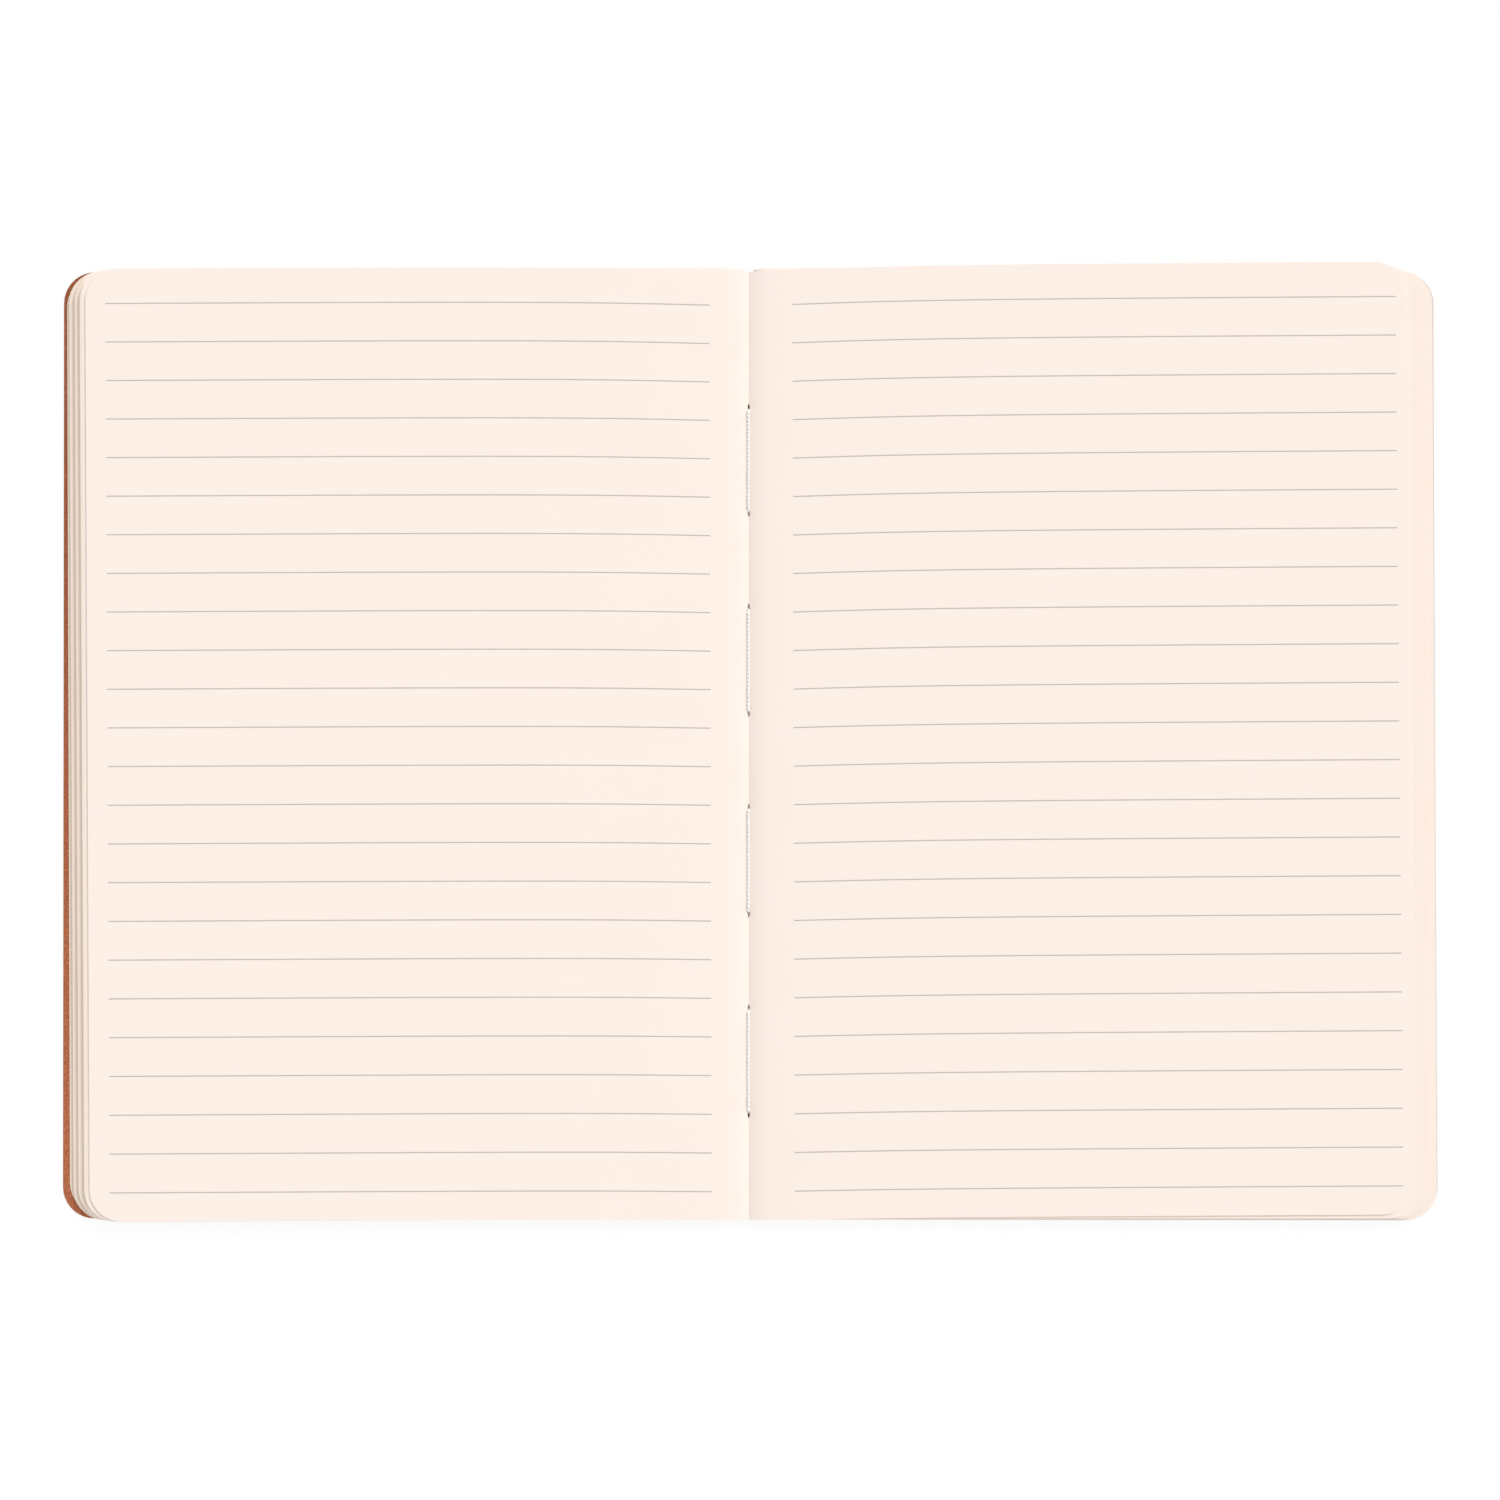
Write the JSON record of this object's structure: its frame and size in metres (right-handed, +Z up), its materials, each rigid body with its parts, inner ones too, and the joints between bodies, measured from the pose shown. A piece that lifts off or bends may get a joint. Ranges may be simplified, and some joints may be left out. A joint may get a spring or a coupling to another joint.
{
  "type": "open notebook",
  "caption": "Soft-cover sewn notebook lying open at its middle, with ruled leaves, rounded corners, sewing thread in the gutter and covers hinged at the spine creases.",
  "frame": {"origin": "middle of the footprint, on the surface that the open notebook lies on", "axes": "+X across the spread from the front cover to the back cover, +Y to the head of the page, +Z up from the table"},
  "size_m": [0.3044, 0.2118, 0.005],
  "materials": {
    "cover_leatherette": "fine grained leatherette, satin",
    "spine_lining_cloth": "open-weave lining cloth, matt",
    "endpaper": "plain uncoated paper, matt",
    "leaf_paper": "ivory uncoated writing paper with grey ruled lines, matt",
    "sewing_thread": "two-ply white thread, matt"
  },
  "bodies": {
    "spine": {"spine_cover": "cover_leatherette", "spine_lining": "spine_lining_cloth", "sewn_folds": "leaf_paper", "sewing_thread": "sewing_thread"},
    "front": {"front_cover": "cover_leatherette", "front_endpaper": "endpaper", "left_leaves": "leaf_paper"},
    "back": {"back_cover": "cover_leatherette", "back_endpaper": "endpaper", "right_leaves": "leaf_paper"}
  },
  "joints": [
    {"name": "front_cover_crease", "type": "hinge", "parent": "spine", "child": "front", "pos_m": [-0.00483, 0, 0.00035], "axis": [0, 1, 0], "range_deg": [-90, 90], "deforming": ["sewn_folds"]},
    {"name": "back_cover_crease", "type": "hinge", "parent": "spine", "child": "back", "pos_m": [0.00487, 0, 0.00035], "axis": [0, -1, 0], "range_deg": [-90, 90], "deforming": ["sewn_folds"]}
  ]
}
